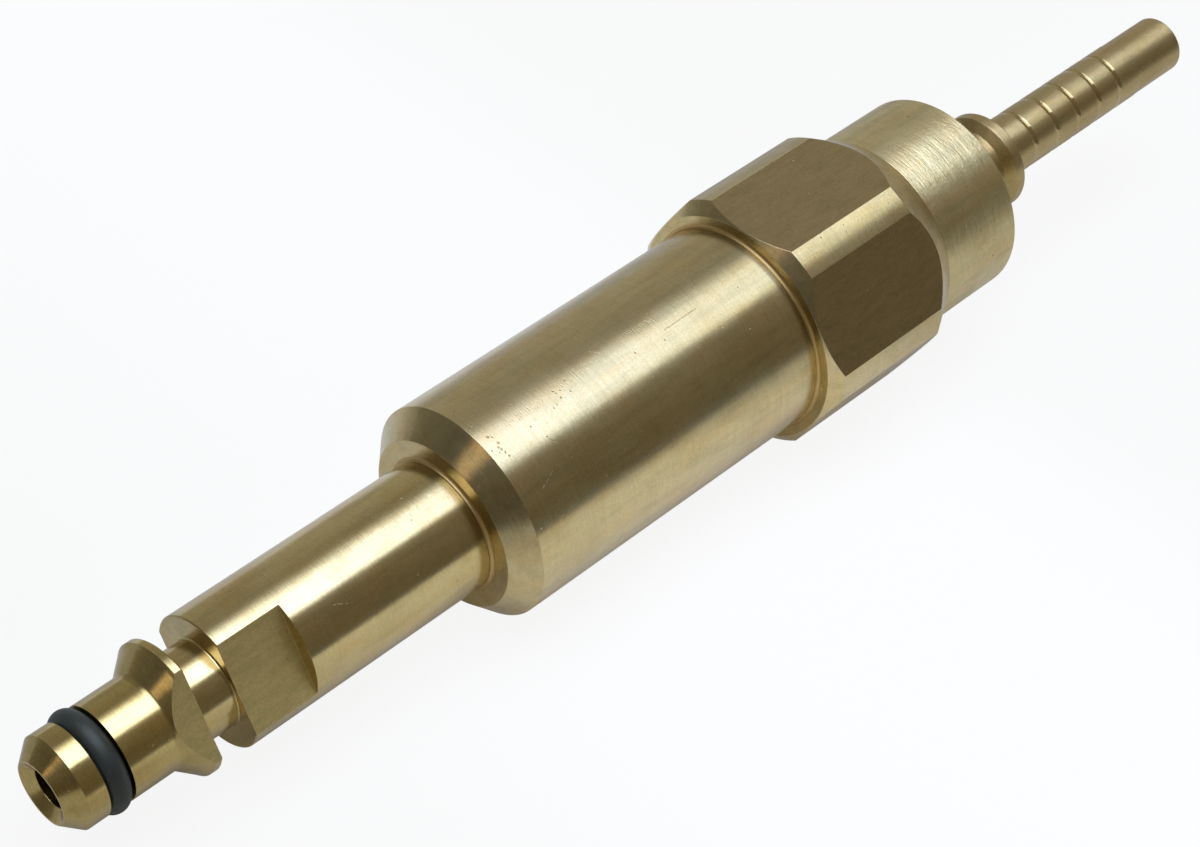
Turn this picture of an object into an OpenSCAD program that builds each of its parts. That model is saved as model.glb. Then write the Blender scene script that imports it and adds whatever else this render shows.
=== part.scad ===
// Quick coupling nipple for a crimped hose, with a spring loaded valve in its
// barrel. The axis is X, from the tip of the plug nose toward the hose end, and
// the middle of the tip's face is the origin. +Z is the normal of a wrench flat.

/* [Plug nose] */

// diameter of the plain nose that enters the coupler
nose_d = 10; // [8:0.1:10.2]
// length of the nose from its tip to the foot of the locking collar
nose_len = 11.5; // [10:0.1:13]
// diameter of the tip's face
tip_d = 6.7; // [6.4:0.1:7.6]
// length of the lead-in cone behind the tip
tip_cone_len = 1.75; // [1:0.05:2.5]
// diameter of the land between the lead-in cone and the rubber ring
tip_land_d = 9.8; // [9:0.1:9.9]
// bore through the nose and shank
flow_bore_d = 4.2; // [3:0.1:4.4]
// diameter of the countersink at the tip
mouth_d = 6.3; // [5.4:0.1:6.3]
// depth of the countersink at the tip
mouth_depth = 0.9; // [0.5:0.1:1.5]

/* [Nose seal] */

// thickness of the rubber ring's section
nose_ring_section = 2.5; // [2:0.1:2.6]
// inside diameter of the rubber ring as it sits in its groove
nose_ring_bore = 5.7; // [5.5:0.1:6]
// distance from the tip to the near wall of the groove
nose_groove_start = 3.85; // [3:0.05:4.4]
// how much wider the groove is than the rubber ring
nose_groove_play = 0.15; // [0.05:0.05:0.3]

/* [Locking collar and shank] */

// diameter of the locking collar and of the shank behind it
shank_d = 14.1; // [13.6:0.1:14.6]
// length of the flare from the nose up to the collar's rim
collar_flare_len = 2; // [1.4:0.1:2.6]
// length of the collar's rim
collar_rim_len = 1.1; // [0.8:0.1:2]
// fillet at the foot of the flare
collar_foot_fillet_r = 0.8; // [0.2:0.1:1.5]
// width of the neck that the coupler's balls drop into
neck_len = 3.9; // [3:0.1:4.5]
// diameter of that neck
neck_d = 9.2; // [8:0.1:9.6]
// length of the shank from the neck to the body's face
shank_len = 28.9; // [24:0.1:34]
// distance across the two wrench flats of the shank
shank_flats_af = 10.4; // [10.1:0.1:11.5]
// how far the wrench flats run along the shank
shank_flats_len = 7.15; // [4:0.05:12]
// fillet in the corners of the neck
neck_fillet_r = 0.15; // [0.1:0.05:0.6]

/* [Valve body] */

// diameter of the barrel
barrel_d = 23.25; // [22.4:0.05:24]
// length of the barrel from its face to the foot of the hexagon
barrel_len = 41.3; // [36:0.05:46]
// depth of the bevel round the barrel's face, equal both ways
barrel_bevel = 2.4; // [1:0.1:3]
// diameter of the bar that the hexagon is cut on
bar_d = 28.3; // [27.6:0.1:28.6]
// distance across the hexagon's flats
hex_af = 26; // [25:0.1:27]
// length of the hexagon between the two turned cones
hex_len = 15.1; // [12:0.1:18]
// height of the square shoulder behind the barrel, as a share of the step
// from barrel to bar
shoulder_share = 0.5; // [0.3:0.01:0.6]
// radius of the fillet where the barrel meets the shoulder
shoulder_fillet_r = 0.3; // [0.2:0.05:0.6]
// slope of the turned cone in front of the hexagon, from the axis
front_cone_angle = 45; // [40:1:66]
// slope of the turned cone behind the hexagon, from the axis
rear_cone_angle = 30; // [25:1:45]
// bore of the valve chamber
chamber_d = 17; // [16:0.1:17.6]
// thickness of the body's front wall, which takes the shank's thread
front_wall_len = 11; // [9:0.1:13]
// the small fillet on the body's front face at the root of the shank
root_fillet_r = 0.3; // [0.15:0.05:0.6]

/* [Hose end] */

// diameter of the head of the hose tail, behind the hexagon
head_d = 22.85; // [22:0.05:22.9]
// length of that head
head_len = 11.3; // [8:0.1:16]
// diameter of the neck that the crimped ferrule locks into
lock_neck_d = 9.2; // [8:0.1:10]
// length of that neck, with its cone up to the collar
lock_neck_len = 7.45; // [6:0.05:9]
// length of the cone from the neck up to the ferrule collar
lock_cone_len = 0.8; // [0.5:0.1:1.6]
// diameter of the ferrule collar
lock_collar_d = 11.4; // [10.6:0.1:12.4]
// length of the ferrule collar
lock_collar_len = 1.5; // [1:0.1:2.5]
// diameter of the tail that goes into the hose
tail_d = 6.85; // [6.2:0.05:7.2]
// length of the tail behind the collar
tail_len = 31.85; // [30:0.05:40]
// diameter of the plain end of the tail
tail_tip_d = 6.75; // [6:0.05:6.8]
// length of that plain end
tail_tip_len = 8; // [2:0.1:9]
// bore through the hose tail
tail_bore_d = 4; // [3:0.1:4.4]
// number of shallow ring grooves round the tail
tail_grooves = 5; // [3:1:6]
// distance from one ring groove to the next
tail_groove_pitch = 3.84; // [3:0.02:4.4]
// width of a ring groove
tail_groove_len = 0.8; // [0.6:0.1:1.6]
// depth of a ring groove
tail_groove_depth = 0.05; // [0.04:0.01:0.3]
// distance from the collar to the middle of the first ring groove
tail_groove_start = 4.9; // [4:0.1:5.6]

/* [Valve inside] */

// how far the poppet lifts off its seat
lift = 3; // [1.5:0.1:3.5]
// diameter of the poppet's guide stem
poppet_stem_d = 3.5; // [2.5:0.1:3.8]
// diameter of the poppet's head
poppet_head_d = 12; // [11:0.1:12.6]
// thickness of the poppet's head behind its cone
poppet_head_len = 3.4; // [3:0.1:4.5]
// diameter of the opening in the valve seat
seat_bore_d = 8; // [7:0.1:8.6]
// thickness of the valve seat
seat_len = 6; // [5:0.1:7]
// gap all round between the poppet's stem and its guide
guide_play = 0.05; // [0.02:0.01:0.1]
// thickness of the spring guide's plate
guide_plate_len = 2.5; // [2:0.1:3.5]
// number of flow holes in the spring guide
guide_holes = 6; // [4:1:8]
// thickness of the spring's wire
spring_wire_d = 0.9; // [0.6:0.05:1]
// mean diameter of the spring
spring_mean_d = 7; // [6.8:0.1:7.6]
// number of working coils of the spring
spring_coils = 6; // [4:1:8]
// length of the spring with the valve shut
spring_len = 17; // [14:0.1:19]
// thickness of the cage's wall
cage_wall = 1.2; // [1:0.1:1.6]
// length of the strainer that reaches into the hose tail's head
strainer_len = 15; // [8:0.1:16]
// outside diameter of the strainer
strainer_d = 9; // [8.6:0.1:9.6]
// thickness of the strainer's sheet
strainer_wall = 0.5; // [0.4:0.05:0.8]

/* [Hidden] */

$fn = 96;
// corners of a small round section
ring_steps = 48;

// how far a cutter runs past the face it opens
cut_past = 1;
// how deep a fillet is rooted in the metal beside it
root_depth = 0.1;
// gap all round between two pieces that slide or screw together
slip = 0.05;
// gap between two faces that bear on each other
face_gap = 0.02;
// bevel on the sharp outer edges
edge_break = 0.2;

// the stations along the axis, counted from the tip
nose_groove_end = nose_groove_start + nose_ring_section + nose_groove_play;
collar_foot = nose_len;
collar_rim = collar_foot + collar_flare_len;
collar_back = collar_rim + collar_rim_len;
shank_face = collar_back + neck_len;
flats_end = shank_face + shank_flats_len;
body_face = shank_face + shank_len;
hex_foot = body_face + barrel_len;
shoulder_h = shoulder_share * (bar_d - barrel_d) / 2;
hex_start = hex_foot + ((bar_d - barrel_d) / 2 - shoulder_h) / tan(front_cone_angle);
hex_end = hex_start + hex_len;
// the body's back rim stands a hair above the head, so the seam shows
seam_step = 0.15;
body_back = hex_end + (bar_d - head_d - 2 * seam_step) / 2 / tan(rear_cone_angle);
head_back = body_back + head_len;
collar2_start = head_back + lock_neck_len;
collar2_back = collar2_start + lock_collar_len;
tail_end = collar2_back + tail_len;

// the bevel between the collar's flare and its rim
flare_bevel = 0.3;

// the wrench flats of the shank are parallel to a pair of the hexagon's
shank_flats_turn = 60;

// the screwed joint between the shank and the body: the shank's shoulder
// bears on the edge of the fillet at its root
seal_section = 1.5;
seal_play = 0.1;
root_edge = 0.08;
root_start = body_face - root_fillet_r;
entry_step = 0.2;
stem_seat_d = shank_d - 2 * entry_step;
entry_d = stem_seat_d + 2 * slip;
entry_len = 3.4;
thread_step = 0.4;
thread_d = stem_seat_d - thread_step;
thread_runout = 2.4;
thread_end = body_face + front_wall_len - thread_runout;
funnel_wall = 1.5;
funnel_d = thread_d - 2 * funnel_wall;
funnel_len = 5;
stem_seal_at = body_face + entry_len / 2;
chamber_start = body_face + front_wall_len;

// the stack in the chamber, from its front shoulder to the hose tail's spigot
inner_d = chamber_d - 2 * slip;
guide_end = chamber_start + guide_plate_len;
poppet_back = guide_end + spring_len;
seat_face = poppet_back + poppet_head_len;
seat_back = seat_face + seat_len;
rim_len = 1;
spigot_start = seat_back + rim_len;
spigot_step = 1.3;
spigot_d = chamber_d + 2 * spigot_step;
strainer_room = 1.7;
spigot_bore_d = strainer_d + 2 * strainer_room;
strainer_end_gap = 0.7;
spigot_bore_end = seat_back + strainer_len + strainer_end_gap;
spigot_cone_len = 4;
spigot_cone_end = spigot_bore_end + spigot_cone_len;
tail_seal_inset = 2.2;
tail_seal_at = body_back - tail_seal_inset;

// the spring guide's hub stands inside the spring and stops the open poppet
hub_end = poppet_back - lift;
hub_play = 0.25;
hub_d = spring_mean_d - spring_wire_d - 2 * hub_play;
guide_bore_d = poppet_stem_d + 2 * guide_play;
guide_hole_d = 2.8;
guide_hole_inset = 0.2;
guide_hole_r = (spring_mean_d + spring_wire_d + guide_hole_d) / 2 + guide_hole_inset;

// the seat's cone, and the rubber ring that shuts against it
seat_cone_step = 1.6;
seat_mouth_d = seat_bore_d + 2 * seat_cone_step;
seat_cone_len = (seat_mouth_d - seat_bore_d) / 2;
poppet_gap = 0.3;
stem_end_inset = 0.5;
seal_to_seat = 0.04;
seal_ring_in = (seal_section / 2 + seal_to_seat) * sin(45);
poppet_seal_at = seat_face + seat_cone_len / 2 - seal_ring_in;
poppet_seal_d = seat_bore_d + seat_cone_len - 2 * seal_ring_in;
poppet_nose_past = 0.8;
poppet_nose_len = seat_cone_len + poppet_nose_past;

// the strainer's slots: their width, the rows, and the pairs in each row
strainer_slot_w = 0.8;
strainer_web = 1.2;
strainer_rows = 4;
strainer_slot_pairs = 5;

// steps of the spring's sweep: rings to a coil and corners to a ring
coil_steps = 20;
wire_corners = 8;

// Turn a profile about the X axis. Its points are [place on the axis, radius].
module turned() {
  rotate([0, 90, 0])
    rotate_extrude()
      mirror([1, -1])
        children();
}

// A straight round bar or hole along the axis, from one station to another.
module along(from, to, d) {
  translate([from, 0, 0])
    rotate([0, 90, 0])
      cylinder(d = d, h = to - from);
}

// A cone along the axis.
module taper(from, to, d_from, d_to) {
  translate([from, 0, 0])
    rotate([0, 90, 0])
      cylinder(d1 = d_from, d2 = d_to, h = to - from);
}

// A rubber ring round the axis.
module rubber_ring(at, section, mean_d) {
  turned()
    translate([at, mean_d / 2])
      circle(d = section, $fn = ring_steps);
}

// A square groove round the axis, cut in from outside.
module ring_groove(at, width, bottom_d, outer_d) {
  turned()
    translate([at - width / 2, bottom_d / 2])
      square([width, (outer_d - bottom_d) / 2 + cut_past]);
}

// A shallow groove with a round bottom, of a given width at its mouth.
module round_groove(at, width, depth, outer_d) {
  r = (width * width / 4 + depth * depth) / (2 * depth);
  turned()
    translate([at, outer_d / 2 - depth + r])
      circle(r = r);
}

// A bit of metal that rounds an inner corner of a turned profile. It grows
// from the corner along the axis in the direction of side, and outward, and
// is rooted in the metal on both sides of the corner.
module corner_fillet(at, d, r, side) {
  turned()
    difference() {
      translate([side > 0 ? at - root_depth : at - r, d / 2 - root_depth])
        square(r + root_depth);
      translate([at + side * r, d / 2 + r])
        circle(r = r, $fn = ring_steps);
    }
}

// A bit of metal that rounds the foot of a cone that rises from a bar.
module slope_fillet(at, bar_r, r, slope) {
  run = r * tan(slope / 2);
  turned()
    difference() {
      polygon([
        [at - run, bar_r],
        [at, bar_r - edge_break],
        [at + run * cos(slope), bar_r + run * sin(slope)]
      ]);
      translate([at - run, bar_r + r])
        circle(r = r);
    }
}

// The plug: nose, locking collar, neck and shank, with a screwed spigot.
module plug_stem() {
  nose_r = nose_d / 2;
  shank_r = shank_d / 2;
  flare_slope = atan((shank_r - flare_bevel - nose_r) / collar_flare_len);
  color("goldenrod")
    difference() {
      union() {
        turned()
          polygon([
            [0, 0],
            [0, tip_d / 2],
            [tip_cone_len, tip_land_d / 2],
            [nose_groove_start, tip_land_d / 2],
            [nose_groove_start, nose_r],
            [collar_foot, nose_r],
            [collar_rim, shank_r - flare_bevel],
            [collar_rim + flare_bevel, shank_r],
            [collar_back - edge_break / 2, shank_r],
            [collar_back, shank_r - edge_break / 2],
            [collar_back, neck_d / 2],
            [shank_face, neck_d / 2],
            [shank_face, shank_r - edge_break / 2],
            [shank_face + edge_break / 2, shank_r],
            [root_start - face_gap, shank_r],
            [root_start - face_gap, stem_seat_d / 2],
            [body_face + entry_len - face_gap, stem_seat_d / 2],
            [body_face + entry_len - face_gap, thread_d / 2],
            [thread_end, thread_d / 2],
            [thread_end, 0]
          ]);
        slope_fillet(collar_foot, nose_r, collar_foot_fillet_r, flare_slope);
        corner_fillet(collar_back, neck_d, neck_fillet_r, 1);
        corner_fillet(shank_face, neck_d, neck_fillet_r, -1);
      }
      along(-cut_past, thread_end + cut_past, flow_bore_d);
      taper(0, mouth_depth, mouth_d, flow_bore_d);
      taper(thread_end - funnel_len, thread_end, flow_bore_d, funnel_d);
      ring_groove((nose_groove_start + nose_groove_end) / 2,
                  nose_groove_end - nose_groove_start, nose_ring_bore, nose_d);
      ring_groove(stem_seal_at, seal_section + seal_play,
                  entry_d - 2 * seal_section, stem_seat_d);
      for (turn = [0, 180])
        rotate([shank_flats_turn + turn, 0, 0])
          translate([collar_foot, -shank_d, shank_flats_af / 2])
            cube([flats_end - collar_foot, 2 * shank_d, shank_d]);
    }
}

// The black rubber ring that seals the nose in the coupler.
module nose_o_ring() {
  color("dimgray")
    rubber_ring((nose_groove_start + nose_groove_end) / 2, nose_ring_section,
                nose_ring_bore + nose_ring_section + 2 * face_gap);
}

// The ring that seals the shank in the body.
module stem_o_ring() {
  color("dimgray")
    rubber_ring(stem_seal_at, seal_section - 2 * face_gap, entry_d - seal_section);
}

// Barrel and hexagon in one piece, bored for the valve from the back.
module valve_body() {
  barrel_r = barrel_d / 2;
  color("darkgoldenrod")
    difference() {
      intersection() {
        union() {
          turned()
            polygon([
              [root_start, 0],
              [root_start, shank_d / 2 + root_edge],
              [body_face, shank_d / 2 + root_edge],
              [body_face, barrel_r - barrel_bevel],
              [body_face + barrel_bevel, barrel_r],
              [hex_foot, barrel_r],
              [hex_foot, barrel_r + shoulder_h],
              [hex_start, bar_d / 2],
              [hex_end, bar_d / 2],
              [body_back, head_d / 2 + seam_step],
              [body_back, 0]
            ]);
          corner_fillet(body_face, shank_d + 2 * root_edge, root_fillet_r, -1);
          corner_fillet(hex_foot, barrel_d, shoulder_fillet_r, -1);
        }
        translate([body_face - cut_past, 0, 0])
          rotate([0, 90, 0])
            rotate([0, 0, 30])
              cylinder(d = hex_af / cos(30), h = body_back - body_face + 2 * cut_past,
                       $fn = 6);
      }
      along(root_start - cut_past, body_face + entry_len, entry_d);
      along(body_face, chamber_start + cut_past, thread_d + 2 * slip);
      along(chamber_start, body_back, chamber_d);
      along(seat_back, body_back + cut_past, spigot_d);
    }
}

// The plate and hub that hold the spring and steer the poppet's stem.
module spring_guide() {
  color("khaki")
    difference() {
      union() {
        along(chamber_start + face_gap, guide_end - face_gap, inner_d);
        along(chamber_start + face_gap, hub_end, hub_d);
      }
      along(chamber_start - cut_past, hub_end + cut_past, guide_bore_d);
      for (i = [0:guide_holes - 1])
        rotate([i * 360 / guide_holes, 0, 0])
          translate([0, 0, guide_hole_r])
            along(chamber_start - cut_past, guide_end + cut_past, guide_hole_d);
    }
}

// How far along the spring a given turn has climbed. The first and the last
// turn are closed, so that the spring stands square on its seats.
function spring_climb(turn) =
  let (pitch = (spring_len - 2 * face_gap - 3 * spring_wire_d) / spring_coils)
  turn < 1 ? turn * spring_wire_d
  : turn < 1 + spring_coils ? spring_wire_d + (turn - 1) * pitch
  : spring_wire_d + spring_coils * pitch + (turn - 1 - spring_coils) * spring_wire_d;

module valve_spring() {
  turns = spring_coils + 2;
  rings = turns * coil_steps;
  wire_r = spring_wire_d / 2;
  points = [
    for (i = [0:rings]) let (turn = i / coil_steps)
      for (j = [0:wire_corners - 1]) let (
        a = j * 360 / wire_corners,
        r = spring_mean_d / 2 + wire_r * cos(a)
      ) [
        guide_end + face_gap + wire_r + spring_climb(turn) + wire_r * sin(a),
        r * cos(turn * 360),
        r * sin(turn * 360)
      ]
  ];
  sides = [
    for (i = [0:rings - 1], j = [0:wire_corners - 1]) let (
      k = (j + 1) % wire_corners,
      a = i * wire_corners,
      b = a + wire_corners
    ) [a + j, a + k, b + k, b + j]
  ];
  first_end = [for (j = [wire_corners - 1:-1:0]) j];
  last_end = [for (j = [0:wire_corners - 1]) rings * wire_corners + j];
  color("silver")
    polyhedron(points, concat(sides, [first_end, last_end]), convexity = 10);
}

// The moving cone of the valve, with its guide stem.
module poppet() {
  nose_tip_d = seat_bore_d - 2 * poppet_gap - 2 * (poppet_nose_len - seat_cone_len);
  stem_end = chamber_start + stem_end_inset;
  color("gold")
    difference() {
      turned()
        polygon([
          [stem_end, 0],
          [stem_end, poppet_stem_d / 2 - edge_break],
          [stem_end + edge_break, poppet_stem_d / 2],
          [poppet_back + face_gap, poppet_stem_d / 2],
          [poppet_back + face_gap, poppet_head_d / 2 - edge_break],
          [poppet_back + face_gap + edge_break, poppet_head_d / 2],
          [seat_face - poppet_gap - edge_break, poppet_head_d / 2],
          [seat_face - poppet_gap, poppet_head_d / 2 - edge_break],
          [seat_face - poppet_gap, seat_mouth_d / 2 - poppet_gap / 2],
          [seat_face + poppet_nose_len - poppet_gap, nose_tip_d / 2],
          [seat_face + poppet_nose_len - poppet_gap, 0]
        ]);
      turned()
        translate([poppet_seal_at, poppet_seal_d / 2])
          circle(d = seal_section + 2 * face_gap, $fn = ring_steps);
    }
}

// The rubber ring on the poppet's cone.
module poppet_seal() {
  color("dimgray")
    rubber_ring(poppet_seal_at, seal_section, poppet_seal_d);
}

// The sleeve that keeps the guide and the seat apart.
module valve_cage() {
  color("khaki")
    difference() {
      along(guide_end, seat_face - face_gap, inner_d);
      along(guide_end - cut_past, seat_face + cut_past, inner_d - 2 * cage_wall);
    }
}

// The fixed ring that the poppet shuts against.
module valve_seat() {
  color("khaki")
    difference() {
      along(seat_face, seat_back - face_gap, inner_d);
      along(seat_face - cut_past, seat_back + cut_past, seat_bore_d);
      taper(seat_face - cut_past, seat_face + seat_cone_len,
            seat_mouth_d + 2 * cut_past, seat_bore_d);
      ring_groove(seat_face + seat_len / 2, seal_section + seal_play,
                  chamber_d - 2 * seal_section, chamber_d);
    }
}

// The ring that seals the seat in the chamber.
module seat_o_ring() {
  color("dimgray")
    rubber_ring(seat_face + seat_len / 2, seal_section - 2 * face_gap,
                chamber_d - seal_section);
}

// The slotted cup that keeps grit off the seat. Each cutter opens a slot on
// both sides of the cup, and every other row is turned by half a step.
module strainer() {
  slots_start = spigot_start + strainer_web;
  slots_end = seat_back + strainer_len - strainer_wall - strainer_web;
  row_len = (slots_end - slots_start) / strainer_rows;
  step = 180 / strainer_slot_pairs;
  color("silver")
    difference() {
      along(seat_back, seat_back + strainer_len, strainer_d);
      along(seat_back - cut_past, seat_back + strainer_len - strainer_wall,
            strainer_d - 2 * strainer_wall);
      for (row = [0:strainer_rows - 1], i = [0:strainer_slot_pairs - 1])
        rotate([(i + (row % 2) / 2) * step, 0, 0])
          translate([slots_start + row * row_len, -strainer_slot_w / 2, -strainer_d])
            cube([row_len - strainer_web, strainer_slot_w, 2 * strainer_d]);
    }
}

// The flat ring that carries the strainer, clamped between seat and hose tail.
module strainer_rim() {
  color("silver")
    difference() {
      along(seat_back, spigot_start - face_gap, spigot_d - 4 * slip);
      along(seat_back - cut_past, spigot_start + cut_past, strainer_d + 2 * face_gap);
    }
}

// The screwed plug of the body's back, with the ferrule neck and the hose tail.
module hose_tail() {
  neck_r = lock_neck_d / 2;
  collar_r = lock_collar_d / 2;
  tail_r = tail_d / 2;
  color("goldenrod")
    difference() {
      turned()
        polygon([
          [spigot_start, 0],
          [spigot_start, spigot_d / 2 - slip],
          [body_back + face_gap, spigot_d / 2 - slip],
          [body_back + face_gap, head_d / 2 - edge_break / 2],
          [body_back + face_gap + edge_break / 2, head_d / 2],
          [head_back - edge_break, head_d / 2],
          [head_back, head_d / 2 - edge_break],
          [head_back, neck_r],
          [collar2_start - lock_cone_len, neck_r],
          [collar2_start, collar_r - edge_break / 2],
          [collar2_start + edge_break / 2, collar_r],
          [collar2_back - edge_break, collar_r],
          [collar2_back, collar_r - edge_break],
          [collar2_back, tail_r],
          [tail_end - tail_tip_len, tail_r],
          [tail_end - tail_tip_len, tail_tip_d / 2],
          [tail_end - edge_break, tail_tip_d / 2],
          [tail_end, tail_tip_d / 2 - edge_break],
          [tail_end, 0]
        ]);
      along(spigot_start - cut_past, spigot_bore_end, spigot_bore_d);
      taper(spigot_bore_end, spigot_cone_end, spigot_bore_d, tail_bore_d);
      along(spigot_start, tail_end + cut_past, tail_bore_d);
      ring_groove(tail_seal_at, seal_section + seal_play,
                  spigot_d - 2 * seal_section, spigot_d);
      for (i = [0:tail_grooves - 1])
        round_groove(collar2_back + tail_groove_start + i * tail_groove_pitch,
                     tail_groove_len, tail_groove_depth, tail_d);
    }
}

// The ring that seals the hose tail's plug in the body.
module tail_o_ring() {
  color("dimgray")
    rubber_ring(tail_seal_at, seal_section - 2 * face_gap, spigot_d - seal_section);
}

plug_stem();
nose_o_ring();
stem_o_ring();
valve_body();
spring_guide();
valve_spring();
poppet();
poppet_seal();
valve_cage();
valve_seat();
seat_o_ring();
strainer();
strainer_rim();
hose_tail();
tail_o_ring();
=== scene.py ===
"""Looks for the quick coupling nipple: worn turned brass, black rubber and steel on a white table."""

import math
from collections import namedtuple

import bpy
from mathutils import Matrix, Vector


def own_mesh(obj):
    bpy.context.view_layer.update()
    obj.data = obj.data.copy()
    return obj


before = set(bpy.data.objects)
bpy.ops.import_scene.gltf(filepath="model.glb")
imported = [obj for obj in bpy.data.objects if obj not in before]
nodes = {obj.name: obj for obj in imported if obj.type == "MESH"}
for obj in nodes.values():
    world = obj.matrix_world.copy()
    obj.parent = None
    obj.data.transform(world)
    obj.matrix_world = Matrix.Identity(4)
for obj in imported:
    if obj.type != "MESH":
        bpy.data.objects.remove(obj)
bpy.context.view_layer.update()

MM = 0.001
WHITE = (1.0, 1.0, 1.0, 1.0)

# Camera of the photograph, in the row frame.
CAMERA_AT = (-73.18 * MM, -137.18 * MM, 189.16 * MM)
CAMERA_RIGHT = (0.70927, -0.70461, 0.02152)
CAMERA_FORWARD = (0.51847, 0.50073, -0.69315)
CAMERA_LENS = 81.64
CAMERA_SENSOR = 36.0
CAMERA_CLIP = (0.01, 20.0)

# The nipple lies on the front edge of the hexagon's lower flat and on the front edge of its barrel, each
# given by its station and its height.
REST_HEXAGON = (88.81 * MM, -13.0 * MM)
REST_BARREL = (49.8 * MM, -11.625 * MM)

# The white sheet under the nipple, and the table that shows past its front edge. Each painted shade is (from,
# to, share) and dims the sheet to that share where less light falls: at the nose, past the hexagon, and
# behind the nipple.
FLOOR_SIZE = 6.0
FLOOR_GAP = 0.03 * MM
SHEET_EDGE = (-129.0 * MM, -125.0 * MM)
SHEET = (0.93, 0.88, 0.71)
TABLE = (0.17, 0.16, 0.14)
NOSE_END_PAINTED_SHADE = (-5.0 * MM, 75.0 * MM, 0.5)
TAIL_END_PAINTED_SHADE = (95.0 * MM, 122.0 * MM, 0.65)
BEHIND_PAINTED_SHADE = (5.0 * MM, 30.0 * MM, 0.8)
SHEET_GRAIN = 900.0
SHEET_DIMMEST = 0.975

# How white the sheet looks: to the camera, and in the metal.
CAMERA_SHARE = 0.9
MIRROR_SHARE = 0.2

# The studio. Angles are in degrees round the axis, from straight up toward the camera's side. The other
# ranges lie along the axis: they are X parts of a direction, from -1 past the nose to 1 past the tail.
BRIGHTEST = 6.0
BOX_BACK = (-27.0, -3.0)
BOX_FRONT = (23.0, 27.0)
BOX_START = (-0.62, -0.4)
BOX = [
    (-1.0, (2.7, 3.1, 4.2)), (0.3, (3.0, 3.6, 6.0)), (0.42, (2.8, 3.4, 6.0)), (0.5, (1.6, 1.95, 3.2)),
    (0.54, (1.15, 1.38, 2.1)), (0.6, (1.9, 2.15, 2.5)), (0.64, (2.4, 2.65, 2.9)), (0.69, (0.4, 0.42, 0.42)),
    (0.73, (0.22, 0.22, 0.21)), (1.0, (0.2, 0.19, 0.17)),
]
BOX_EDGE_TINT = (1.0, 0.98, 0.82)
BOX_CORE = (-12.0, 21.0)
BOX_CORE_SOFT = 8.0
BOX_LEAN = (0.3, 0.5)
BOX_LEAN_TURN = 6.0
LAMP_FOOT = (-0.85, -0.77)
LAMP_FOOT_SOFT = 0.015
LAMP_FOOT_TURN = (-27.0, -1.0)
LAMP_FOOT_TURN_SOFT = 4.6
LAMP_FOOT_LIGHT = (1.35, 1.12, 0.92)
NOSE_SIDE = (-0.75, 0.0)
NOSE_SIDE_DIM = 0.55
WALL_END = (0.25, 0.42)
WALL_END_DIM = 0.6
WALL_TOP = (-34.4, 0.0)
ROOM = [
    (-180, (0.5, 0.5, 0.5)), (-95, (0.47, 0.475, 0.45)), (-80, (0.45, 0.455, 0.44)),
    (-60, (0.43, 0.435, 0.42)), (-38, (0.34, 0.345, 0.34)), (0, (0.3, 0.3, 0.3)), (30, (0.25, 0.24, 0.21)),
    (46, (0.225, 0.21, 0.185)), (60, (0.2, 0.185, 0.155)), (75, (0.175, 0.165, 0.14)),
    (90, (0.165, 0.158, 0.135)), (110, (0.14, 0.14, 0.13)), (180, (0.5, 0.5, 0.5)),
]

# Stretches of the nipple, as (from, to) from the tip, and radii there.
COLLAR = (11.6 * MM, 14.7 * MM)
NOSE_TO_SHANK = (11.0 * MM, 20.0 * MM)
SHANK_FLATS = (18.4 * MM, 25.8 * MM)
SHANK_R = 7.05 * MM
HEXAGON = (88.7 * MM, 109.5 * MM)
BAR_R = 14.15 * MM
HEAD_TO_TAIL = (121.0 * MM, 124.0 * MM)
TAIL_GROOVES = (131.0 * MM, 153.4 * MM)
GROOVE_R = 3.415 * MM

# Inner corners with old dirt, painted shade and painted reflection: a gold-brown that hides their highlight
# and carries on the gold reflection beside them: (from, to, inner radius, outer radius).
SHOULDER_FOOT = (88.36 * MM, 88.74 * MM, 11.6 * MM, 11.98 * MM)
ROOT_FOOT = (47.05 * MM, 47.44 * MM, 7.1 * MM, 7.46 * MM)

# Brass tones, each as turned and as tarnished, or the two of a milled face.
BODY_TONES = ((0.62, 0.495, 0.25), (0.51, 0.395, 0.18))
NOSE_TONES = ((0.61, 0.46, 0.175), (0.5, 0.36, 0.13))
SHANK_TONES = ((0.62, 0.485, 0.225), (0.51, 0.385, 0.16))
HEAD_TONES = ((0.745, 0.61, 0.3), (0.583, 0.462, 0.22))
TAIL_TONES = ((0.57, 0.43, 0.19), (0.47, 0.345, 0.145))
INNER_TONES = ((0.68, 0.53, 0.24), (0.51, 0.395, 0.18))
FLAT_TONES = ((0.56, 0.405, 0.2), (0.46, 0.335, 0.165))
STEM_FLAT_TONES = ((0.8, 0.62, 0.26), (0.7, 0.54, 0.22))
DIRT_AND_PAINTED_SHADE = (0.5, 0.33, 0.115)
PIT_FLOOR = (0.27, 0.2, 0.08)

# A film is a noise that multiplies the tone by its tint. It has that many changes a metre along the axis and
# across it, and is 0 where the noise is below low and full where it is above high.
Film = namedtuple("Film", "along across detail roughness low high full tint")
CLOUDS = Film(150.0, 550.0, 3.0, 0.5, 0.4, 0.7, 0.6, (1.02, 0.9, 0.78))
SMEARS = Film(110.0, 800.0, 4.0, 0.6, 0.44, 0.66, 1.0, (0.88, 0.895, 0.9))
GRIT = Film(5000.0, 5000.0, 2.0, 0.7, 0.35, 0.65, 1.0, (0.9, 0.9, 0.86))
FLAT_SMEARS = Film(350.0, 1500.0, 4.0, 0.7, 0.35, 0.7, 1.0, (0.84, 0.88, 0.84))
FLAT_GRIT = GRIT._replace(tint=(1.12, 1.12, 1.1))

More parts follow.
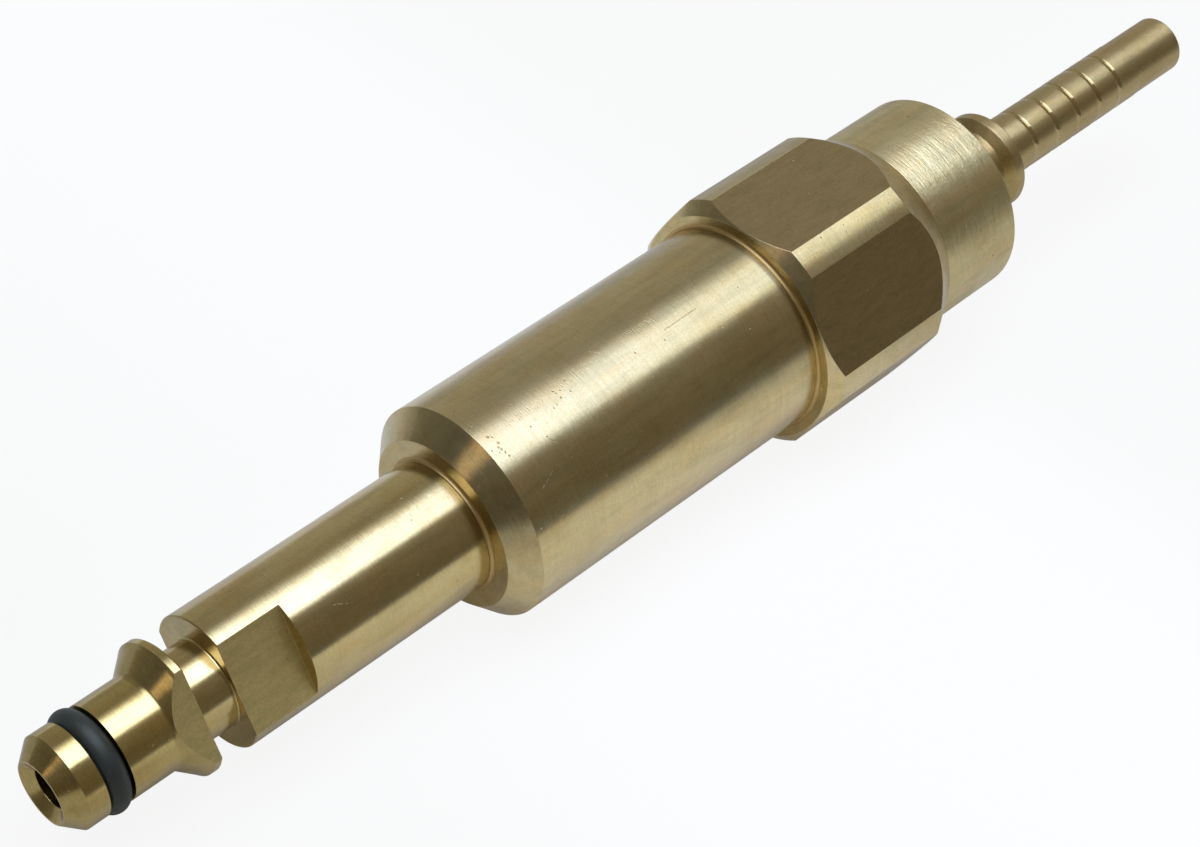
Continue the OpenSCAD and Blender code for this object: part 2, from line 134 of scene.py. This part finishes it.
# Relief of the brass: the shares of its fine, broad and short tool marks, what a finer cut takes off them,
# and the changes a metre of a milled face.
FINE, BROAD, SHORT = 0.6, 1.1, 0.35
FINER_CUT = 0.8
MILLING = 2200.0
TICK_PITCH = 0.3 * MM
TICK_DEPTH = 0.5
PIT_DEPTH = 0.014 * MM
EDGE = 0.09 * MM
EDGE_SAMPLES = 4

# Damage: pits as (spacing, radius), the share of the large ones, and how thick they lie outside the patches.
# The inner and outer edges of a pit and of a scratch are in parts of its size, and are ragged.
SMALL_PITS = (0.9 * MM, 0.13 * MM)
LARGE_PITS = (2.3 * MM, 0.24 * MM)
LARGE_SHARE = 0.8
PIT_PATCH = 6.0 * MM
THIN_PITS = 0.25
PIT_OUTLINE = (0.4, 1.25)
SCRATCH_OUTLINE = (0.5, 1.3)
RAGGED = 0.22 * MM
RAGGED_SIZE = 0.25 * MM

# How far stains, tool marks, corner dirt with its painted shade and reflection, and pits take over the tone.
STAIN_SIZE = 5.0 * MM
STAIN_SHARE = 0.5
MARK_STAIN_SHARE = 0.35
DIRT_AND_SHADE_SHARE = 0.9
PIT_SHARE = 0.7

# Roughness: of finely turned grooves, its spread over the surface, and what pits and dirt add to it.
SMOOTH_GLOSS = 0.16
GLOSS_SPREAD = 0.1
PITS_ROUGHER = 0.12
DIRT_ROUGHER = 0.22
ANISOTROPY = 0.35
ACROSS_THE_MARKS = 0.25

# Soft ends of a stretch along the axis, and how much nearer the axis a milled face or a groove lies.
FACE_SOFT = 0.05 * MM
CORNER_SOFT = 0.03 * MM
FACE_BELOW = 0.01 * MM
GROOVE_BELOW = 0.02 * MM

# Rubber and steel. A GLOSS is a roughness, of the surface or added by its film or lines.
RUBBER_TONES = ((0.01, 0.013, 0.01), (0.028, 0.031, 0.026))
RUBBER_SHEEN = (1.0, 0.97, 0.66)
DUST = (0.3, 0.28, 0.24)
STEEL_TONES = ((0.62, 0.62, 0.6), (0.48, 0.47, 0.45))
RUBBER_GLOSS = 0.34
FILM_GLOSS = 0.25
DUST_SHARE = 0.12
RUBBER_GRAIN_DEPTH = 0.006 * MM
STEEL_GLOSS = 0.2
LINE_GLOSS = 0.2
STEEL_LINE_DEPTH = 0.004 * MM


def radians(degrees):
    return tuple(math.radians(value) for value in degrees)


def on_turn(x, degrees, r):
    """The point at x mm from the tip, at an angle from +Z toward the camera's side, at r mm from the axis."""
    turn = math.radians(degrees)
    return (x * MM, -r * math.sin(turn) * MM, r * math.cos(turn) * MM)


class Shader:
    """Builds the node tree of one material or world."""

    def __init__(self, owner):
        owner.use_nodes = True
        self.tree = owner.node_tree
        self.tree.nodes.clear()

    def add(self, kind, inputs=None, **settings):
        node = self.tree.nodes.new(kind)
        for key, value in settings.items():
            setattr(node, key, value)
        for key, value in (inputs or {}).items():
            self.feed(node.inputs[key], value)
        return node

    def feed(self, socket, value):
        if isinstance(value, bpy.types.NodeSocket):
            self.tree.links.new(value, socket)
        else:
            socket.default_value = value

    def math(self, operation, a, b=0.0, clamp=False):
        node = self.add("ShaderNodeMath", operation=operation, use_clamp=clamp)
        self.feed(node.inputs[0], a)
        if len(node.inputs) > 1:
            self.feed(node.inputs[1], b)
        return node.outputs[0]

    def vector(self, operation, a, b):
        node = self.add("ShaderNodeVectorMath", {0: a, 1: b}, operation=operation)
        return node.outputs["Value" if operation in ("DOT_PRODUCT", "DISTANCE") else "Vector"]

    def times(self, first, *others):
        for other in others:
            first = self.math("MULTIPLY", first, other)
        return first

    def plus(self, a, b, clamp=False):
        return self.math("ADD", a, b, clamp)

    def minus(self, a, b):
        return self.math("SUBTRACT", a, b)

    def most(self, first, *others):
        for other in others:
            first = self.math("MAXIMUM", first, other)
        return first

    def step(self, value, low, high, start=0.0, end=1.0):
        """Goes smoothly from start to end while value goes from low to high."""
        node = self.add("ShaderNodeMapRange", interpolation_type="SMOOTHSTEP")
        for i, v in enumerate((value, low, high, start, end)):
            self.feed(node.inputs[i], v)
        return node.outputs[0]

    def between(self, value, low, high, soft):
        """0 to 1: value lies between low and high, with soft ends."""
        past_low = self.step(value, low - soft, low + soft)
        return self.times(past_low, self.step(value, high - soft, high + soft, 1.0, 0.0))

    def mix(self, factor, a, b):
        """A colour between a and b."""
        node = self.add("ShaderNodeMix", data_type="RGBA")
        self.feed(node.inputs[0], factor)
        for index, colour in ((6, a), (7, b)):
            if isinstance(colour, tuple):
                colour = (*colour, 1.0)
            self.feed(node.inputs[index], colour)
        return node.outputs[2]

    def mix_values(self, factor, a, b):
        node = self.add("ShaderNodeMix", data_type="FLOAT")
        for index, value in ((0, factor), (2, a), (3, b)):
            self.feed(node.inputs[index], value)
        return node.outputs[0]

    def noise(self, vector, scale, detail, roughness=0.5, w=None):
        node = self.add("ShaderNodeTexNoise", noise_dimensions="3D" if w is None else "4D")
        if w is not None:
            self.feed(node.inputs["W"], w)
        inputs = {"Vector": vector, "Scale": scale, "Detail": detail, "Roughness": roughness}
        for key, value in inputs.items():
            self.feed(node.inputs[key], value)
        return node.outputs["Fac"]

    def ramp(self, value, low, high, stops):
        """The light at a value, as a share of the brightest; stops are (value from low to high, light)."""
        node = self.add("ShaderNodeValToRGB")
        self.feed(node.inputs[0], self.math("DIVIDE", self.minus(value, low), high - low))
        bar = node.color_ramp
        while len(bar.elements) < len(stops):
            bar.elements.new(0.5)
        for element, (at, light) in zip(bar.elements, stops):
            element.position = (at - low) / (high - low)
            element.color = (*[c / BRIGHTEST for c in light], 1.0)
        return node.outputs[0]

    def join(self, x, y, z):
        return self.add("ShaderNodeCombineXYZ", {0: x, 1: y, 2: z}).outputs[0]

    def split(self, vector):
        return self.add("ShaderNodeSeparateXYZ", {0: vector}).outputs

    def scaled(self, vector, factors):
        return self.vector("MULTIPLY", vector, factors)

    def dimmed(self, vector, share):
        return self.add("ShaderNodeVectorMath", {0: vector, "Scale": share}, operation="SCALE").outputs[0]

    def turn_of(self, y, z):
        """The angle round the axis, in radians, from straight up toward the camera's side."""
        return self.math("ARCTAN2", self.times(y, -1.0), z)


class Lathe(Shader):
    """A material for a piece turned round the X axis: knows station, radius and angle round the axis."""

    def __init__(self, material):
        super().__init__(material)
        self.place = self.add("ShaderNodeTexCoord").outputs["Object"]
        self.x, y, z = self.split(self.place)
        across = self.join(0.0, y, z)
        self.r = self.add("ShaderNodeVectorMath", {0: across}, operation="LENGTH").outputs["Value"]
        unit = self.add("ShaderNodeVectorMath", {0: across}, operation="NORMALIZE").outputs[0]
        _, self.round_y, self.round_z = self.split(unit)
        self.angle = self.turn_of(self.round_y, self.round_z)
        normal = self.add("ShaderNodeNewGeometry").outputs["True Normal"]
        self.facing_x = self.math("ABSOLUTE", self.split(normal)[0])
        inputs = {"Vector": self.place, "Scale": 1.0 / RAGGED_SIZE, "Detail": 2.0}
        shake = self.add("ShaderNodeTexNoise", inputs).outputs["Color"]
        shake = self.vector("SUBTRACT", shake, (0.5, 0.5, 0.5))
        self.rough_place = self.vector("ADD", self.place, self.scaled(shake, (RAGGED, RAGGED, RAGGED)))

    def grain(self, size, detail, roughness=0.5):
        """Noise with features of about that size."""
        return self.noise(self.place, 1.0 / size, detail, roughness)

    def streaks(self, along, across, detail, roughness=0.5):
        """Noise drawn out one way: its changes a metre along the axis and across it."""
        return self.noise(self.scaled(self.place, (along, across, across)), 1.0, detail, roughness)

    def turned(self, pitch, turns, detail, roughness=0.5):
        """Noise drawn out round the axis, as tool marks are: pitch along the profile, and changes a turn."""
        k = 1.0 / pitch
        profile = self.join(self.times(self.x, k), self.times(self.r, k), self.times(self.round_y, turns))
        return self.noise(profile, 1.0, detail, roughness, w=self.times(self.round_z, turns))

    def flat_faces(self, stretches):
        """0 to 1: milled faces, which run along the axis below the radius of their (from, to, radius)."""
        total = 0.0
        for start, end, radius in stretches:
            inside = self.math("LESS_THAN", self.r, radius - FACE_BELOW)
            sideways = self.math("LESS_THAN", self.facing_x, 0.05)
            here = self.between(self.x, start, end, FACE_SOFT)
            total = self.most(total, self.times(here, inside, sideways))
        return total

    def deep(self, stretches):
        """0 to 1: what lies deeper than the radius of its stretch: (from, to, radius)."""
        total = 0.0
        for start, end, radius in stretches:
            inside = self.step(self.r, radius - GROOVE_BELOW, radius, 1.0, 0.0)
            total = self.most(total, self.times(self.between(self.x, start, end, FACE_SOFT), inside))
        return total

    def corners(self, rings):
        """0 to 1: rings in the piece's inner corners: (from, to, inner radius, outer radius)."""
        total = 0.0
        for start, end, inner, outer in rings:
            along = self.between(self.x, start, end, CORNER_SOFT)
            total = self.most(total, self.times(along, self.between(self.r, inner, outer, CORNER_SOFT)))
        return total

    def pits(self, spacing, radius, share):
        """0 to 1: small round pits, one for a share of the cells of a grid of that spacing."""
        inputs = {"Vector": self.place, "Scale": 1.0 / spacing, "Randomness": 1.0}
        cell = self.add("ShaderNodeTexVoronoi", inputs)
        edge = radius / spacing
        spot = self.step(cell.outputs["Distance"], edge * 0.5, edge, 1.0, 0.0)
        chance = self.add("ShaderNodeSeparateColor", {0: cell.outputs["Color"]}).outputs[0]
        return self.times(spot, self.math("LESS_THAN", chance, share))

    def crowded_pits(self, share):
        """0 to 1: pits of two sizes, thick on some patches and thin on the rest."""
        both = self.most(self.pits(*SMALL_PITS, share), self.pits(*LARGE_PITS, share * LARGE_SHARE))
        crowd = self.step(self.grain(PIT_PATCH, 3.0), 0.52, 0.62)
        return self.times(both, self.plus(THIN_PITS, self.times(crowd, 1.0 - THIN_PITS)))

    def spots(self, marks):
        """0 to 1: ragged pits, each (mm from the tip, degrees from +Z, radius there, radius of the pit)."""
        inner, outer = PIT_OUTLINE
        total = 0.0
        for x, degrees, r, size in marks:
            away = self.vector("DISTANCE", self.rough_place, on_turn(x, degrees, r))
            total = self.most(total, self.step(away, size * inner * MM, size * outer * MM, 1.0, 0.0))
        return total

    def scratches(self, marks):
        """0 to 1: thin scratches, each (start, end, half width) with ends as in spots."""
        inner, outer = SCRATCH_OUTLINE
        total = 0.0
        for a, b, width in marks:
            a, b = Vector(on_turn(*a)), Vector(on_turn(*b))
            run = b - a
            from_a = self.vector("SUBTRACT", self.rough_place, tuple(a))
            share = self.vector("DOT_PRODUCT", from_a, tuple(run / run.length_squared))
            foot = self.dimmed(tuple(run), self.plus(share, 0.0, clamp=True))
            away = self.vector("DISTANCE", from_a, foot)
            total = self.most(total, self.step(away, width * inner * MM, width * outer * MM, 1.0, 0.0))
        worn = self.step(self.grain(0.5 * MM, 2.0), 0.3, 0.62, 0.25, 0.8)
        return self.times(total, worn)

    def ticks(self, rows, pitch):
        """0 to 1: rows of short marks of a chattering tool, each (start, end, degrees, half width)."""
        wobble = self.times(self.grain(0.5 * MM, 2.0), 6.0)
        wave = self.math("SINE", self.plus(self.times(self.x, 2.0 * math.pi / pitch), wobble))
        drift = self.times(self.minus(self.grain(1.1 * MM, 2.0), 0.5), 0.12)
        turn = self.plus(self.angle, drift)
        total = 0.0
        for start, end, degrees, half in rows:
            low, high = radians((degrees - half, degrees + half))
            along = self.between(self.x, start * MM, end * MM, 0.4 * MM)
            total = self.most(total, self.times(along, self.between(turn, low, high, 0.012)))
        patchy = self.step(self.grain(0.45 * MM, 1.0), 0.4, 0.6)
        return self.times(total, self.step(wave, 0.3, 0.9), patchy)

    def under(self, film, tone):
        """The tone under a film."""
        noise = self.streaks(film.along, film.across, film.detail, film.roughness)
        share = self.step(noise, film.low, film.high, 0.0, film.full)
        return self.mix(share, tone, self.scaled(tone, film.tint))

    def bump(self, height, distance, normal=None):
        node = self.add("ShaderNodeBump", {"Height": height, "Distance": distance, "Strength": 1.0})
        if normal is not None:
            self.feed(node.inputs["Normal"], normal)
        return node.outputs[0]

    def finish(self, **inputs):
        shader = self.add("ShaderNodeBsdfPrincipled")
        for key, value in inputs.items():
            if isinstance(value, tuple):
                value = (*value, 1.0)
            self.feed(shader.inputs[key.replace("_", " ")], value)
        self.add("ShaderNodeOutputMaterial", {"Surface": shader.outputs[0]})


def brass(name, tones, gloss, tool_marks, pit_share, flats=(), flat_gloss=0.2, flat_tones=FLAT_TONES,
          smooth=(), dirty_shaded_corners=(), pits=(), scratches=(), ticks=(), past=None, edge=EDGE):
    """Turned and worn brass. tool_marks are (pitch, changes a turn, depth). flats, smooth and the corner list
    are what flat_faces, deep and corners take, for milled faces, finer turned grooves and inner corners with
    old dirt, painted shade and painted reflection. past is (from, to, tones, share of the marks' depth) of a
    second finish that takes over along that stretch."""
    material = bpy.data.materials.new(name)
    s = Lathe(material)
    pitch, turns, depth = tool_marks
    fine = s.turned(pitch, turns, 3.0, 0.6)
    broad = s.turned(pitch * 5.0, turns * 0.5, 1.0)
    short = s.turned(pitch * 1.6, turns * 4.0, 2.0)
    milled = s.noise(s.place, MILLING, 2.0)
    flat = s.flat_faces(flats)
    finer = s.deep(smooth)
    corner = s.corners(dirty_shaded_corners)
    marks = s.most(s.spots(pits), s.scratches(scratches), s.crowded_pits(pit_share))
    if ticks:
        marks = s.most(marks, s.times(s.ticks(ticks, TICK_PITCH), TICK_DEPTH))

    relief = s.plus(s.plus(s.times(fine, FINE), s.times(broad, BROAD)), s.times(short, SHORT))
    relief = s.times(relief, s.minus(1.0, s.times(finer, FINER_CUT)))
    if past:
        relief = s.times(relief, s.step(s.x, past[0], past[1], 1.0, past[3]))
    relief = s.minus(s.mix_values(flat, relief, milled), s.times(marks, PIT_DEPTH / depth))

    stain = s.step(s.grain(STAIN_SIZE, 4.0, 0.6), 0.42, 0.75)
    stained_marks = s.times(s.step(fine, 0.35, 0.7), MARK_STAIN_SHARE)
    tarnish = s.plus(s.times(stain, STAIN_SHARE), stained_marks, clamp=True)
    tone = s.mix(tarnish, *tones)
    if past:
        tone = s.mix(s.step(s.x, past[0], past[1]), tone, s.mix(tarnish, *past[2]))
    for film in (CLOUDS, SMEARS, GRIT):
        tone = s.under(film, tone)
    face = s.mix(milled, *flat_tones)
    for film in (FLAT_SMEARS, FLAT_GRIT):
        face = s.under(film, face)
    tone = s.mix(flat, tone, face)
    # Old dirt with painted shade and painted reflection in the inner corners: a gold-brown that hides the
    # fillets' highlight and carries on the gold reflection of the barrel beside them.
    tone = s.mix(s.times(corner, DIRT_AND_SHADE_SHARE), tone, DIRT_AND_PAINTED_SHADE)
    tone = s.mix(s.times(marks, PIT_SHARE), tone, PIT_FLOOR)

    rough = s.plus(gloss, s.times(s.minus(s.grain(2.5 * MM, 3.0), 0.5), GLOSS_SPREAD))
    rough = s.plus(rough, s.times(finer, SMOOTH_GLOSS - gloss))
    rough = s.plus(rough, s.times(flat, flat_gloss - gloss))
    rough = s.plus(rough, s.times(marks, PITS_ROUGHER))
    rough = s.plus(rough, s.times(corner, DIRT_ROUGHER))
    tangent = s.add("ShaderNodeTangent", direction_type="RADIAL", axis="X").outputs[0]
    edges = s.add("ShaderNodeBevel", {"Radius": edge}, samples=EDGE_SAMPLES).outputs[0]
    s.finish(
        Base_Color=tone, Metallic=1.0, Roughness=rough, Anisotropic=ANISOTROPY,
        Anisotropic_Rotation=ACROSS_THE_MARKS, Tangent=tangent, Normal=s.bump(relief, depth, edges),
    )
    return material


def rubber(name):
    """Smooth black rubber with a faint grease film and dust."""
    material = bpy.data.materials.new(name)
    s = Lathe(material)
    film = s.grain(1.5 * MM, 3.0)
    dust = s.times(s.step(s.grain(0.35 * MM, 2.0), 0.66, 0.74), DUST_SHARE)
    tone = s.mix(dust, s.mix(film, *RUBBER_TONES), DUST)
    rough = s.plus(RUBBER_GLOSS, s.times(film, FILM_GLOSS))
    relief = s.bump(s.grain(0.15 * MM, 3.0), RUBBER_GRAIN_DEPTH)
    s.finish(Base_Color=tone, Roughness=rough, Specular_Tint=RUBBER_SHEEN, Normal=relief)
    return material


def steel(name, along, across):
    """Drawn or rolled stainless steel, with that many changes a metre in its lines each way."""
    material = bpy.data.materials.new(name)
    s = Lathe(material)
    lines = s.streaks(along, across, 3.0, 0.6)
    tone = s.mix(s.step(s.grain(2.0 * MM, 3.0), 0.35, 0.7), *STEEL_TONES)
    rough = s.plus(STEEL_GLOSS, s.times(lines, LINE_GLOSS))
    s.finish(Base_Color=tone, Metallic=1.0, Roughness=rough, Normal=s.bump(lines, STEEL_LINE_DEPTH))
    return material


def pits_at(r, marks):
    """Pits for Lathe.spots, on one radius: each is (mm from the tip, degrees from +Z, radius of the pit)."""
    return [(x, degrees, r, size) for x, degrees, size in marks]


def scratches_at(r, marks):
    """Scratches for Lathe.scratches, on one radius: each is ((mm, degrees), (mm, degrees), half width)."""
    return [((*a, r), (*b, r), width) for a, b, width in marks]


BARREL_PITS = pits_at(11.6, [
    (59.7, 12.1, 0.13), (59.8, 14.0, 0.1), (61.6, 10.8, 0.12), (61.2, 17.0, 0.13), (59.9, 17.2, 0.14),
    (58.5, 19.8, 0.1), (59.0, 19.1, 0.08), (55.2, 21.2, 0.14), (55.9, 29.5, 0.1), (62.5, -6.3, 0.1),
    (55.3, 6.1, 0.08), (51.0, 13.3, 0.2), (51.3, 14.6, 0.11), (51.4, 19.0, 0.19), (51.1, 20.8, 0.15),
    (50.3, 20.5, 0.12), (51.2, 22.5, 0.14), (51.3, 24.6, 0.13), (50.8, 23.3, 0.1), (51.4, 27.1, 0.13),
    (69.6, 19.0, 0.13), (73.2, 22.0, 0.13), (84.0, 20.0, 0.09), (70.0, 150.0, 0.14), (58.0, -120.0, 0.15),
    (79.0, -95.0, 0.12), (64.0, 175.0, 0.1),
])
BODY_FACE_PITS = pits_at(9.7, [
    (47.5, -28.9, 0.17), (47.5, -24.0, 0.1), (47.5, -20.0, 0.1), (47.6, -34.0, 0.1),
])
HEXAGON_PITS = pits_at(14.1, [(98.3, 64.0, 0.12), (94.0, 25.0, 0.1), (97.0, 29.0, 0.08)])
HEAD_PITS = pits_at(11.4, [
    (113.5, 100.0, 0.13), (117.0, 88.0, 0.15), (121.0, 95.0, 0.16), (115.2, 79.0, 0.09), (119.4, 104.0, 0.12),
    (112.4, 112.0, 0.1), (122.0, 84.0, 0.08), (118.0, -150.0, 0.15), (114.0, 170.0, 0.12),
])
TAIL_PITS = pits_at(3.4, [(146.0, 70.0, 0.1)])
SHANK_PITS = pits_at(7.05, [
    (33.0, 47.0, 0.08), (39.0, 58.0, 0.09), (41.5, 20.0, 0.07), (43.0, 84.0, 0.1), (30.0, -160.0, 0.12),
])
STEM_FACE_PITS = [
    (18.65, -25.0, 6.4, 0.12), (18.65, -40.0, 5.9, 0.08), (24.3, 62.0, 5.25, 0.1), (22.5, 50.0, 5.4, 0.07),
    (14.6, 68.0, 6.6, 0.1),
]
BARREL_SCRATCHES = scratches_at(11.62, [
    ((73.9, 17.5), (78.5, 17.2), 0.04), ((55.8, 29.0), (56.3, 34.0), 0.05),
    ((52.5, 48.0), (54.2, 44.0), 0.04), ((66.0, 5.0), (66.6, 9.5), 0.03),
    ((74.0, -130.0), (79.5, -126.0), 0.04), ((55.0, 160.0), (58.0, 152.0), 0.04),
])
SHANK_SCRATCHES = scratches_at(7.06, [
    ((30.0, 40.0), (31.8, 47.0), 0.03), ((35.0, 130.0), (40.0, 136.0), 0.03),
])
BARREL_TICKS = [
    (53.0, 58.6, 13.6, 1.7), (60.2, 66.0, 11.3, 1.8), (69.0, 74.0, 9.0, 1.4), (60.0, 68.0, -140.0, 2.0),
]

inner_brass = brass("inner_brass", INNER_TONES, 0.25, (0.3 * MM, 3.0, 0.008 * MM), 0.05)
seal_rubber = rubber("seal_rubber")
rolled_steel = steel("rolled_steel", 900.0, 5000.0)
FINISH_OF = {
    "plug_stem": brass(
        "stem_brass", NOSE_TONES, 0.2, (0.22 * MM, 3.0, 0.008 * MM), 0.12,
        flats=[(*SHANK_FLATS, SHANK_R), (*COLLAR, SHANK_R)], flat_gloss=0.42, flat_tones=STEM_FLAT_TONES,
        pits=SHANK_PITS + STEM_FACE_PITS, scratches=SHANK_SCRATCHES, past=(*NOSE_TO_SHANK, SHANK_TONES, 1.0)),
    "nose_o_ring": rubber("nose_rubber"),
    "stem_o_ring": seal_rubber,
    "valve_body": brass(
        "body_brass", BODY_TONES, 0.23, (0.26 * MM, 3.5, 0.009 * MM), 0.22,
        flats=[(*HEXAGON, BAR_R)], flat_gloss=0.17, dirty_shaded_corners=[SHOULDER_FOOT, ROOT_FOOT],
        pits=BARREL_PITS + BODY_FACE_PITS + HEXAGON_PITS, scratches=BARREL_SCRATCHES, ticks=BARREL_TICKS),
    "spring_guide": inner_brass,
    "valve_spring": steel("drawn_steel", 2500.0, 900.0),
    "poppet": inner_brass,
    "poppet_seal": seal_rubber,
    "valve_cage": inner_brass,
    "valve_seat": inner_brass,
    "seat_o_ring": seal_rubber,
    "strainer": rolled_steel,
    "strainer_rim": rolled_steel,
    "hose_tail": brass(
        "tail_brass", HEAD_TONES, 0.37, (0.17 * MM, 7.0, 0.06 * MM), 0.2,
        smooth=[(*TAIL_GROOVES, GROOVE_R)], pits=HEAD_PITS + TAIL_PITS,
        past=(*HEAD_TO_TAIL, TAIL_TONES, 0.35), edge=2.0 * EDGE),
    "tail_o_ring": seal_rubber,
}
for name, material in FINISH_OF.items():
    for slot in nodes[name].material_slots:
        slot.material = material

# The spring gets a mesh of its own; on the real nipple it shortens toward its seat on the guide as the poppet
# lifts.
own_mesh(nodes["valve_spring"])


def floor_material():
    """A white sheet that ends in front of the nipple, on a grey table, with painted shade toward the nose,
    past the hexagon and behind the nipple. Camera and metal see it paler.
    """
    material = bpy.data.materials.new("white_table")
    s = Shader(material)
    place = s.add("ShaderNodeTexCoord").outputs["Object"]
    x, y, _ = s.split(place)
    along = s.plus(x, REST_HEXAGON[0])
    # Painted shade: the sheet dims toward the nose, past the hexagon and behind the nipple, where less light
    # falls; a fine grain on top.
    tone = s.times(
        s.step(along, *NOSE_END_PAINTED_SHADE, 1.0),
        s.step(along, *TAIL_END_PAINTED_SHADE[:2], 1.0, TAIL_END_PAINTED_SHADE[2]),
        s.step(y, *BEHIND_PAINTED_SHADE[:2], 1.0, BEHIND_PAINTED_SHADE[2]),
        s.step(s.noise(place, SHEET_GRAIN, 3.0), 0.3, 0.7, SHEET_DIMMEST, 1.0),
    )
    off = s.step(y, *SHEET_EDGE, 1.0, 0.0)
    lit = s.add("ShaderNodeBsdfDiffuse", {"Color": s.mix(off, s.dimmed(SHEET, tone), TABLE)})
    white = s.add("ShaderNodeEmission", {"Color": WHITE, "Strength": 1.0})
    ray = s.add("ShaderNodeLightPath").outputs
    seen = s.times(ray["Is Camera Ray"], CAMERA_SHARE)
    # The white that the metal mirrors is dimmed by the same painted shade.
    on_sheet = s.times(s.minus(1.0, off), tone, MIRROR_SHARE)
    mirrored = s.times(s.most(ray["Is Glossy Ray"], ray["Is Transmission Ray"]), on_sheet)
    shown = s.plus(seen, mirrored, clamp=True)
    both = s.add("ShaderNodeMixShader", {0: shown, 1: lit.outputs[0], 2: white.outputs[0]})
    s.add("ShaderNodeOutputMaterial", {"Surface": both.outputs[0]})
    return material


def lay_floor():
    """The floor touches the nipple's two resting edges, so that it isn't quite level with the axis."""
    h = FLOOR_SIZE / 2.0
    mesh = bpy.data.meshes.new("floor")
    mesh.from_pydata([(-h, -h, 0), (h, -h, 0), (h, h, 0), (-h, h, 0)], [], [(0, 1, 2, 3)])
    mesh.materials.append(floor_material())
    floor = bpy.data.objects.new("floor", mesh)
    bpy.context.scene.collection.objects.link(floor)
    slope = math.atan2(REST_BARREL[1] - REST_HEXAGON[1], REST_HEXAGON[0] - REST_BARREL[0])
    foot = Matrix.Translation((REST_HEXAGON[0], 0.0, REST_HEXAGON[1] - FLOOR_GAP))
    floor.matrix_world = foot @ Matrix.Rotation(slope, 4, "Y")


def light_studio():
    """A soft box above the nipple, a pale wall behind it, and a dim room on the camera's side and past its
    nose. Camera rays see white instead."""
    world = bpy.data.worlds.new("studio")
    bpy.context.scene.world = world
    s = Shader(world)
    x, y, z = s.split(s.add("ShaderNodeTexCoord").outputs["Generated"])
    turn = s.turn_of(y, z)

    room = s.ramp(s.math("DEGREES", turn), -180.0, 180.0, ROOM)
    dim = s.step(x, *NOSE_SIDE, NOSE_SIDE_DIM, 1.0)
    wall = s.most(s.step(x, *WALL_END, WALL_END_DIM, 1.0), s.step(turn, *radians(WALL_TOP)))
    foot = s.times(
        s.between(x, *LAMP_FOOT, LAMP_FOOT_SOFT),
        s.between(turn, *radians(LAMP_FOOT_TURN), math.radians(LAMP_FOOT_TURN_SOFT)),
    )
    shade = s.mix(foot, s.dimmed(room, s.times(dim, wall)), tuple(c / BRIGHTEST for c in LAMP_FOOT_LIGHT))

    lean = s.step(x, *BOX_LEAN, math.radians(BOX_LEAN_TURN), 0.0)
    box = s.times(
        s.step(s.plus(turn, lean), *radians(BOX_BACK)),
        s.step(turn, *radians(BOX_FRONT), 1.0, 0.0),
        s.step(x, *BOX_START),
    )
    full = s.ramp(x, -1.0, 1.0, BOX)
    core = s.between(turn, *radians(BOX_CORE), math.radians(BOX_CORE_SOFT))
    light = s.mix(box, shade, s.mix(core, s.scaled(full, BOX_EDGE_TINT), full))

    light = s.add("ShaderNodeBackground", {"Color": light, "Strength": BRIGHTEST})
    white = s.add("ShaderNodeBackground", {"Color": WHITE, "Strength": 1.0})
    ray = s.add("ShaderNodeLightPath").outputs
    both = s.add("ShaderNodeMixShader", {0: ray["Is Camera Ray"], 1: light.outputs[0], 2: white.outputs[0]})
    s.add("ShaderNodeOutputWorld", {"Surface": both.outputs[0]})


def place_camera():
    forward = Vector(CAMERA_FORWARD).normalized()
    right = Vector(CAMERA_RIGHT)
    right = (right - right.dot(forward) * forward).normalized()
    up = right.cross(forward)
    lens = bpy.data.cameras.new("camera")
    lens.sensor_width = CAMERA_SENSOR
    lens.lens = CAMERA_LENS
    lens.clip_start, lens.clip_end = CAMERA_CLIP
    camera = bpy.data.objects.new("camera", lens)
    bpy.context.scene.collection.objects.link(camera)
    camera.matrix_world = Matrix.Translation(CAMERA_AT) @ Matrix((right, up, -forward)).transposed().to_4x4()
    bpy.context.scene.camera = camera


lay_floor()
light_studio()
place_camera()
bpy.context.scene.view_settings.view_transform = "Standard"
